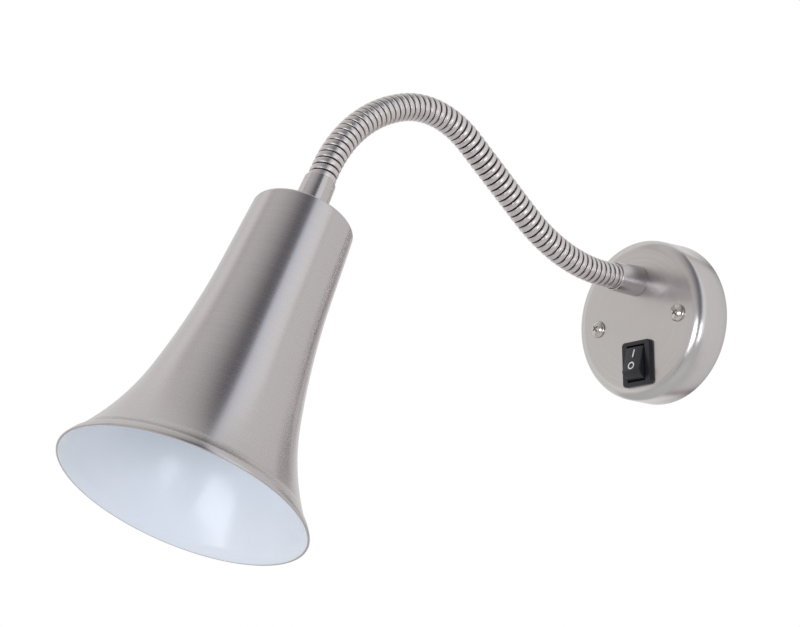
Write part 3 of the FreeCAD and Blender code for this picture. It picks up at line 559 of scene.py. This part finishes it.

# %% [markdown]
# The strip is plated before it is wound and isn't brushed after, so it is brighter than the turned pieces.
# Shade in its groove, which is only about 0.3 mm wide, is painted: how deep a point lies in it was kept as
# an attribute of the mesh while the winding was still straight, and the metal is painted dark there as shade.

# %% Bright nickel with painted groove shade for the winding, soft vinyl for the cable
nickel_with_groove_shade, tree, shader = finish("bright_nickel_strip_painted_groove_shade", Metallic=1.0)
depth = node(tree, "ShaderNodeAttribute", attribute_name="groove").outputs["Fac"]
place = node(tree, "ShaderNodeTexCoord").outputs["Object"]
smear = node(tree, "ShaderNodeTexNoise", [("Vector", place), ("Scale", 1 / (3 * MM)), ("Detail", 3.0)])
# Painted shade: the metal goes from its own colour to near black deep in the groove.
tone = node(tree, "ShaderNodeMix", [(0, depth), (6, linear("#DAD4D1")), (7, linear("#0E0C0B"))],
            data_type="RGBA")
tree.links.new(tone.outputs[2], shader.inputs["Base Color"])
rough = node(tree, "ShaderNodeMath", [(0, smear.outputs["Fac"]), (1, 0.12), (2, 0.26)],
             operation="MULTIPLY_ADD")
tree.links.new(rough.outputs[0], shader.inputs["Roughness"])

vinyl, tree, shader = finish("soft_vinyl_white", Roughness=0.5, IOR=1.53)
place = node(tree, "ShaderNodeTexCoord").outputs["Object"]
mottle = node(tree, "ShaderNodeTexNoise", [("Vector", place), ("Scale", 1 / (4 * MM)), ("Detail", 2.0)])
tone = node(tree, "ShaderNodeMix", [(0, mottle.outputs["Fac"]), (6, linear("#D9D8D2")),
                                    (7, linear("#E6E5E0"))], data_type="RGBA")
tree.links.new(tone.outputs[2], shader.inputs["Base Color"])
for piece in neck_parts:
    paint(piece, nickel_with_groove_shade)
for piece in cable_parts:
    paint(piece, vinyl)
print("painted", len(neck_parts) + len(cable_parts), "lengths")

# %% [markdown]
# ## Cover screws
# Two M4 pan-head screws, cold-headed and nickel plated, with a cross recess that the punch has sunk into
# the dome. The head is turned, and the cross is cut by two bars that narrow towards their tip, as the punch
# does. One screw is made and then copied with its own mesh.

# %% Screws
HEAD_R, RIM_R, HEAD_TOP, DOME_RISE = 4.0, 3.7, 2.5, 1.8
CROSS_SPAN, CROSS_DEPTH, CROSS_WIDTH, CROSS_AT = 4.6, 1.7, 0.95, 2.05


def cross_bar(place, turned):
    middle = place + OUT * CROSS_AT
    bar = block(CROSS_SPAN, CROSS_DEPTH, CROSS_WIDTH, middle, 0)
    edit(bar)
    mesh = bmesh.from_edit_mesh(bar.data)
    for v in mesh.verts:
        v.select = v.co.y > middle.y * MM
    mesh.select_flush_mode()
    bmesh.update_edit_mesh(bar.data)
    bpy.ops.transform.resize(value=(0.5, 1, 0.6), center_override=place * MM)
    bpy.ops.mesh.select_all(action="SELECT")
    bpy.ops.transform.rotate(value=math.radians(turned), orient_axis="Y", center_override=place * MM)
    return done(bar, 0)


dome_r = (HEAD_R ** 2 + DOME_RISE ** 2) / (2 * DOME_RISE)
rim_angle = 90 - math.degrees(math.asin(RIM_R / dome_r))
dome = arc((0, HEAD_TOP - dome_r), dome_r, rim_angle, 90, 10)[:-1] + [(0.0, HEAD_TOP)]
shank = [(0.0, -10.5), (1.6, -10.5), (2.0, -10.1), (2.0, 0.0), (3.8, 0.0), (HEAD_R, 0.2), (HEAD_R, 0.55),
         (3.9, 0.75)]
screws = [lathe("cover_screw_left", shank + dome, SCREWS[0], OUT, sides=64)]
cut(screws[0], cross_bar(SCREWS[0], 30), cross_bar(SCREWS[0], 120))
done(screws[0], 30)
second = screws[0].copy()
second.data = screws[0].data.copy()
second.name = second.data.name = "cover_screw_right"
bpy.context.collection.objects.link(second)
second.location = (SCREWS[1] - SCREWS[0]) * MM
screws.append(done(second, 0))

plated, tree, shader = finish("bright_nickel_screw", Metallic=1.0)
place = node(tree, "ShaderNodeTexCoord").outputs["Object"]
wear = node(tree, "ShaderNodeTexNoise", [("Vector", place), ("Scale", 1 / (1.2 * MM)), ("Detail", 3.0)])
tone = node(tree, "ShaderNodeMix", [(0, wear.outputs["Fac"]), (6, linear("#B9B2AC")),
                                    (7, linear("#E6E1DC"))], data_type="RGBA")
tree.links.new(tone.outputs[2], shader.inputs["Base Color"])
rough = node(tree, "ShaderNodeMath", [(0, wear.outputs["Fac"]), (1, 0.15), (2, 0.08)],
             operation="MULTIPLY_ADD")
tree.links.new(rough.outputs[0], shader.inputs["Roughness"])
for screw in screws:
    paint(screw, plated)
    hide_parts("cover_screws")
    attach(screw, "base")
print("screws", len(screws))

# %% [markdown]
# ## Rocker switch
# The housing and its bezel are moulded in black nylon and come from the construction as they are. The
# rocker is made again with softened edges: its outline is drawn from the side, filled, pushed through and
# bevelled. Its ends are round about the pivot, so its gap stays the same while it rocks.

# %% Rocker
PIVOT = Vector(pivots["rocker_switch"]["pos_m"]) / MM
TILT, REACH, MIDDLE, HALF, ROCKER_W = math.radians(18), 5.566, 5.3, 6.1, 10.0
corner = math.degrees(math.atan2(REACH, HALF))
end_r = math.hypot(REACH, HALF)
end_turns = [math.radians(corner - (corner + 8) * k / 12) for k in range(13)]
end = [(-math.sin(a) * end_r, math.cos(a) * end_r) for a in end_turns]
upper = [(-MIDDLE, 0.0), (-MIDDLE - 0.07, HALF * 0.5)] + end + [(4.5, 2.6)]
level = upper + [(y, -z) for y, z in reversed(upper[1:])]
lean = Matrix.Rotation(-TILT, 3, "X")
rocker = outline("switch_rocker", [PIVOT + Vector((-ROCKER_W / 2, 0, 0)) + lean @ Vector((0, y, z))
                                   for y, z in level], True)
bpy.ops.mesh.edge_face_add()
bpy.ops.mesh.extrude_region_move(TRANSFORM_OT_translate={"value": (ROCKER_W * MM, 0, 0)})
bpy.ops.mesh.select_all(action="SELECT")
bpy.ops.mesh.normals_make_consistent(inside=False)
done(rocker, 0)
apply_modifier(rocker, "BEVEL", width=0.3 * MM, segments=3, limit_method="ANGLE",
               angle_limit=math.radians(40))
cut(rocker, rod(1.2, ROCKER_W + 1.6, PIVOT, Vector((1, 0, 0))), operation="UNION")
done(rocker, 35)
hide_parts("rocker_paddle")
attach(rocker, "rocker")
print("rocker faces", len(rocker.data.polygons))

# %% [markdown]
# The marks are the usual ones on such a switch: a stroke for on and a ring for off, pad-printed in white.
# Each is a thin solid that stands about a tenth of a millimetre off its half of the rocker.

# %% Printed marks
def on_rocker(piece, along):
    """Turn a mark that lies on the plane through the pivot onto its half of the rocker's face."""
    part = math.copysign(2.5, along)
    place = Matrix.Translation(PIVOT * MM) @ lean.to_4x4()
    slopes = Matrix.Rotation(math.radians(-part), 4, "X")
    rise = MIDDLE + 0.1 + abs(along) * math.tan(math.radians(2.5))
    piece.matrix_world = place @ Matrix.Translation(Vector((0, -rise, along)) * MM) @ slopes
    done(piece, 30)
    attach(piece, "rocker")
    return piece


stroke = on_rocker(block(0.7, 0.1, 4.1, Vector((0, 0, 0))), 2.9)
stroke.name = stroke.data.name = "mark_on"
ring = lathe("mark_off", [(1.2, -0.05), (1.85, -0.05), (1.85, 0.05), (1.2, 0.05)], Vector((0, 0, 0)), OUT,
             sides=48, hollow=True)
on_rocker(ring, -3.4)

ink, tree, shader = finish("printed_ink_white", Roughness=0.45)
place = node(tree, "ShaderNodeTexCoord").outputs["Object"]
grain = node(tree, "ShaderNodeTexNoise", [("Vector", place), ("Scale", 1 / (0.4 * MM)), ("Detail", 2.0)])
tone = node(tree, "ShaderNodeMix", [(0, grain.outputs["Fac"]), (6, linear("#DCDCDC")),
                                    (7, linear("#FAFAFA"))], data_type="RGBA")
tree.links.new(tone.outputs[2], shader.inputs["Base Color"])
paint(stroke, ink)
paint(ring, ink)

# %% [markdown]
# Moulded nylon has a fine spark-eroded texture, about 0.15 mm across, that makes its gloss soft. It is
# drawn at 0.3 mm so that it shows. Black plastic is never quite black: this one leans to blue.

# %% Black nylon
nylon, tree, shader = finish("moulded_nylon_black", IOR=1.53)
place = node(tree, "ShaderNodeTexCoord").outputs["Object"]
spark = node(tree, "ShaderNodeTexNoise", [("Vector", place), ("Scale", 1 / (0.3 * MM)), ("Detail", 2.0)])
relief = node(tree, "ShaderNodeBump", [("Height", spark.outputs["Fac"]), ("Strength", 0.3),
                                       ("Distance", 0.02 * MM)])
tree.links.new(relief.outputs[0], shader.inputs["Normal"])
tone = node(tree, "ShaderNodeMix", [(0, spark.outputs["Fac"]), (6, linear("#14141A")),
                                    (7, linear("#1E1E26"))], data_type="RGBA")
tree.links.new(tone.outputs[2], shader.inputs["Base Color"])
rough = node(tree, "ShaderNodeMath", [(0, spark.outputs["Fac"]), (1, 0.12), (2, 0.3)],
             operation="MULTIPLY_ADD")
tree.links.new(rough.outputs[0], shader.inputs["Roughness"])
paint(rocker, nylon)

# %% [markdown]
# ## Lamp holder and bulb
# The bulb sits inside the shade with the holder behind it. The holder is pressed from black phenolic, with
# a brass sleeve that takes the bulb's thread. The bulb is blown opal glass, crimped into an aluminium cap
# with a rolled thread.

# %% Holder and bulb
def in_shade(name, profile, node_name, hollow=False):
    piece = lathe(name, profile, SHADE_SEAT, SHADE_AXIS, sides=64, hollow=hollow)
    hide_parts(node_name)
    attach(piece, "head")
    return piece


SOCKET = BARREL_AT + 28.0
GLOBE = SOCKET + 28.5
cap = in_shade("holder_top", [(5.05, HOLDER_AT), (7.6, HOLDER_AT), (8.0, HOLDER_AT + 0.4),
                             (8.0, HOLDER_AT + 2.3), (8.3, HOLDER_AT + 2.9), (13.5, HOLDER_AT + 8.1),
                             (13.9, HOLDER_AT + 8.8), (14.0, BARREL_AT), (12.4, BARREL_AT),
                             (12.4, HOLDER_AT + 9.3), (5.05, HOLDER_AT + 4.1)],
               "holder_cap", True)
rib_starts = [BARREL_AT + 3.0 + 3.2 * k for k in range(6)]
ribs = [p for s in rib_starts for p in ((14.0, s), (13.5, s + 0.5), (13.5, s + 1.4), (14.0, s + 1.9))]
body = in_shade("holder_barrel", [(0.0, BARREL_AT), (14.0, BARREL_AT)] + ribs + [(14.0, SOCKET - 1.6)]
                + arc((12.6, SOCKET - 1.4), 1.4, 0, 90, 6)
                + [(7.45, SOCKET), (7.4, BARREL_AT + 4.0), (0.0, BARREL_AT + 4.0)],
                "holder_body")
sleeve = in_shade("socket_sleeve", [(7.05, SOCKET - 22.0), (7.4, SOCKET - 22.0), (7.4, SOCKET - 1.6),
                                    (7.05, SOCKET - 1.6)], "holder_sleeve", True)
turn_starts = [SOCKET - 19.0 + 2.82 * k for k in range(6)]
thread = [p for s in turn_starts for p in ((6.45, s), (6.8, s + 0.7), (6.8, s + 1.4))]
bulb_metal = in_shade("bulb_thread", [(0.0, SOCKET - 21.6), (2.6, SOCKET - 21.6), (3.0, SOCKET - 21.3),
                                      (6.3, SOCKET - 19.8)] + thread
                      + [(6.45, SOCKET - 2.0), (6.8, SOCKET - 1.2), (6.8, SOCKET), (0.0, SOCKET)],
                      "bulb_cap")
globe = in_shade("bulb_glass", [(6.0, SOCKET), (6.78, SOCKET), (6.95, SOCKET + 1.2)]
                 + arc((0, GLOBE), 22.4, -60, 86, 26) + [(0.0, GLOBE + 22.4), (0.0, GLOBE + 21.6)]
                 + arc((0, GLOBE), 21.6, 86, -58, 20), "bulb_globe", True)

phenolic, tree, shader = finish("pressed_phenolic_black", IOR=1.6)
place = node(tree, "ShaderNodeTexCoord").outputs["Object"]
flow = node(tree, "ShaderNodeTexNoise", [("Vector", place), ("Scale", 1 / (6 * MM)), ("Detail", 4.0)])
tone = node(tree, "ShaderNodeMix", [(0, flow.outputs["Fac"]), (6, linear("#181614")),
                                    (7, linear("#2A2622"))], data_type="RGBA")
tree.links.new(tone.outputs[2], shader.inputs["Base Color"])
rough = node(tree, "ShaderNodeMath", [(0, flow.outputs["Fac"]), (1, 0.15), (2, 0.28)],
             operation="MULTIPLY_ADD")
tree.links.new(rough.outputs[0], shader.inputs["Roughness"])
paint(cap, phenolic)
paint(body, phenolic)

opal, tree, shader = finish("blown_opal_glass", Roughness=0.14, IOR=1.52)
place = node(tree, "ShaderNodeTexCoord").outputs["Object"]
cloud = node(tree, "ShaderNodeTexNoise", [("Vector", place), ("Scale", 1 / (30 * MM)), ("Detail", 1.0)])
tone = node(tree, "ShaderNodeMix", [(0, cloud.outputs["Fac"]), (6, linear("#EDECE6")),
                                    (7, linear("#F7F6F1"))], data_type="RGBA")
tree.links.new(tone.outputs[2], shader.inputs["Base Color"])
paint(globe, opal)
print("holder and bulb made")

# %% [markdown]
# ## Inside the plate
# From behind, the open plate shows its bracket, nuts, terminals and wires. The wires are soft, so each is a
# smooth curve with a round section through the same points as in the construction, made a mesh at the end.

# %% Wires
def wire(name, points, node_name, card):
    line = bpy.data.curves.new(name, "CURVE")
    line.dimensions, line.bevel_depth, line.bevel_resolution = "3D", 0.9 * MM, 4
    line.use_fill_caps, line.resolution_u = True, 12
    spline = line.splines.new("NURBS")
    spline.points.add(len(points) - 1)
    for p, at_mm in zip(spline.points, points):
        p.co = [c * MM for c in at_mm] + [1.0]
    spline.order_u, spline.use_endpoint_u = 3, True
    piece = bpy.data.objects.new(name, line)
    bpy.context.collection.objects.link(piece)
    bpy.ops.object.select_all(action="DESELECT")
    piece.select_set(True)
    bpy.context.view_layer.objects.active = piece
    bpy.ops.object.convert(target="MESH")
    made, tree, shader = finish("wire_insulation_" + name, IOR=1.53, Roughness=0.42)
    place = node(tree, "ShaderNodeTexCoord").outputs["Object"]
    mottle = node(tree, "ShaderNodeTexNoise", [("Vector", place), ("Scale", 1 / (3 * MM)), ("Detail", 2.0)])
    base = linear(card)
    tone = node(tree, "ShaderNodeMix", [(0, mottle.outputs["Fac"]),
                                        (6, [c * 0.85 for c in base[:3]] + [1.0]), (7, base)],
                data_type="RGBA")
    tree.links.new(tone.outputs[2], shader.inputs["Base Color"])
    paint(piece, made)
    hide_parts(node_name)
    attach(piece, "base")
    done(piece, 50)
    return piece


wire("wire_live", [(1.2, -6.5, 18), (1.2, -3.5, 18), (6.3, -4.2, 8), (6.4, -4.2, -10), (13, -4.2, -20),
                   (8.4, -7.5, -25), (2.4, -7.5, -25)], "live_core", "#6A4028")
wire("wire_neutral", [(-1.2, -6.5, 18), (-1.2, -3.5, 18), (-9, -4.2, 27), (-14, -8.8, 27.5),
                      (-14, -12.8, 24.5), (-14, -12.8, 12.7)], "neutral_core", "#2F6CB0")
wire("wire_switched", [(-21, -12.8, 12.7), (-21, -12.8, 23), (-24, -5.3, 20.5), (-27, -4.2, 8),
                       (-21.5, -4.2, -6), (-14, -4.2, -14), (-8.4, -7.5, -17), (-2.4, -7.5, -17)],
     "switch_lead", "#6A4028")

# %% [markdown]
# ### Zinc plate, brass and moulded nylon
# The bracket, the nuts and the earth tag are steel with a bright zinc plate, which sets in grains of a few
# millimetres that catch the light differently. Terminals are brass, yellow and slightly tarnished, and the
# terminal block is milky nylon.

# %% Finishes of the pieces behind
def varied(name, low, high, size, rough_low, rough_high, detail=3.0, **sockets):
    """A finish whose colour and roughness drift together over patches of a real size in millimetres."""
    made, tree, shader = finish(name, **sockets)
    place = node(tree, "ShaderNodeTexCoord").outputs["Object"]
    patches = node(tree, "ShaderNodeTexNoise", [("Vector", place), ("Scale", 1 / (size * MM)),
                                                ("Detail", detail)]).outputs["Fac"]
    tone = node(tree, "ShaderNodeMix", [(0, patches), (6, linear(low)), (7, linear(high))],
                data_type="RGBA")
    tree.links.new(tone.outputs[2], shader.inputs["Base Color"])
    rough = node(tree, "ShaderNodeMath", [(0, patches), (1, rough_high - rough_low), (2, rough_low)],
                 operation="MULTIPLY_ADD")
    tree.links.new(rough.outputs[0], shader.inputs["Roughness"])
    return made


zinc = varied("bright_zinc_plate", "#A9ACAE", "#C9CCCE", 3.0, 0.25, 0.42, Metallic=1.0)
brass = varied("tarnished_brass", "#A88A4C", "#CDB06A", 2.0, 0.22, 0.4, Metallic=1.0)
steel = varied("plated_steel_screw", "#A8A6A2", "#CFCDCA", 1.0, 0.2, 0.35, Metallic=1.0)
milky = varied("moulded_nylon_milky", "#D8D6CC", "#E6E4DA", 5.0, 0.4, 0.5, IOR=1.53)
aluminium = varied("rolled_aluminium", "#B4B5B8", "#CCCDD0", 2.0, 0.25, 0.4, Metallic=1.0)
paint(sleeve, brass)
paint(bulb_metal, aluminium)
for name, material in (("wall_bracket", zinc), ("neck_nut", zinc), ("shade_nut", zinc), ("earth_tag", zinc),
                       ("earth_screw", brass), ("terminal_screws", steel), ("switch_terminals", brass),
                       ("holder_contact", brass), ("terminal_block", milky), ("switch_body", nylon)):
    paint(frame["nodes"][name], material)
print("construction pieces painted")

# %% [markdown]
# ## Light
# The photograph is lit in a white studio: a tall strip light to the right of the camera, a pale wall all
# round, and a darker room behind the camera. The metal mirrors that room, which gives the shade its bright
# streak beside a dark one. The streaks run along the shade, so the world holds the pale room as a ramp of
# brightness round the direction of the shade's axis. The camera itself sees plain white.

# %% World
world = bpy.data.worlds.new("studio")
bpy.context.scene.world = world
world.use_nodes = True
tree = world.node_tree
tree.nodes.clear()
view = node(tree, "ShaderNodeTexCoord").outputs["Generated"]
front_way = (back - SHADE_AXIS * back.dot(SHADE_AXIS)).normalized()
side_way = front_way.cross(SHADE_AXIS).normalized()
ahead = node(tree, "ShaderNodeVectorMath", [(0, view), (1, front_way)],
             operation="DOT_PRODUCT").outputs["Value"]
beside = node(tree, "ShaderNodeVectorMath", [(0, view), (1, side_way)],
              operation="DOT_PRODUCT").outputs["Value"]
bearing = node(tree, "ShaderNodeMath", [(0, beside), (1, ahead)], operation="ARCTAN2")
share = node(tree, "ShaderNodeMath", [(0, bearing.outputs[0]), (1, 1 / (2 * math.pi)), (2, 0.5)],
             operation="MULTIPLY_ADD")
ramp = node(tree, "ShaderNodeValToRGB", [("Fac", share.outputs[0])])
ROOM = [(-180, "#F4F4F4"), (-125, "#E4E4E4"), (-112, "#F8F8F8"), (-99, "#F4F4F4"), (-91, "#BEBAB8"),
        (-80, "#D8D8D8"), (-58, "#CCCCCC"), (-36, "#B2B0B2"), (-8, "#6E6C72"), (9, "#74737A"),
        (15, "#E8EEFC"), (30, "#F6F9FF"), (53, "#FFFFFF"), (57, "#CACACE"), (63, "#E6E6E8"), (125, "#E2E0E0"),
        (143, "#DAD8D8"), (148, "#7E746C"), (155, "#F4F4F4"), (180, "#F4F4F4")]
stops = ramp.color_ramp.elements
stops[0].color, stops[1].color = linear(ROOM[0][1]), linear(ROOM[-1][1])
for degrees, card in ROOM[1:-1]:
    stops.new(degrees / 360 + 0.5).color = linear(card)
rays = node(tree, "ShaderNodeLightPath")
seen = node(tree, "ShaderNodeMath", [(0, rays.outputs["Is Camera Ray"]),
                                     (1, rays.outputs["Is Transmission Ray"])], operation="MAXIMUM")
shown = node(tree, "ShaderNodeMix", [(0, seen.outputs[0]), (6, ramp.outputs["Color"]),
                                     (7, (1.0, 1.0, 1.0, 1.0))], data_type="RGBA")
sky = node(tree, "ShaderNodeBackground", [("Color", shown.outputs[2]), ("Strength", 1.0)])
node(tree, "ShaderNodeOutputWorld", [("Surface", sky.outputs[0])])

# %% [markdown]
# Two soft boxes model the object. Their mirror images show on the glossy enamel inside the shade, as in the
# photograph.

# %% Soft boxes
def softbox(name, toward, distance, width, height, power, card):
    """A rectangular lamp that looks at the lamp's middle from a direction."""
    lamp = bpy.data.lights.new(name, "AREA")
    lamp.shape, lamp.size, lamp.size_y, lamp.energy = "RECTANGLE", width, height, power
    lamp.color = linear(card)[:3]
    stand = bpy.data.objects.new(name, lamp)
    bpy.context.collection.objects.link(stand)
    middle = Vector((0, -0.15, -0.02))
    stand.location = middle + toward.normalized() * distance
    stand.rotation_euler = (middle - stand.location).to_track_quat("-Z", "Y").to_euler()
    return stand


softbox("softbox_right", Vector((0.95, -0.25, -0.3)), 1.3, 0.5, 0.5, 2.0, "#F2F5FF")
softbox("softbox_below", Vector((0.25, -0.95, -0.12)), 1.3, 0.8, 0.45, 5.0, "#F4F7FF")
floor_paint, tree, shader = finish("floor_paint_white", Roughness=0.8)
shader.inputs["Base Color"].default_value = linear("#F0F0F0")
bpy.ops.object.select_all(action="DESELECT")
bpy.ops.mesh.primitive_plane_add(size=5.0, location=(0, -1.0, -1.2))
floor = done(bpy.context.object, 0)
floor.name = "floor"
paint(floor, floor_paint)
print("lights and floor placed")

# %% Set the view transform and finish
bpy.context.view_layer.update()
bpy.context.scene.view_settings.view_transform = "Standard"
bpy.ops.object.select_all(action="DESELECT")
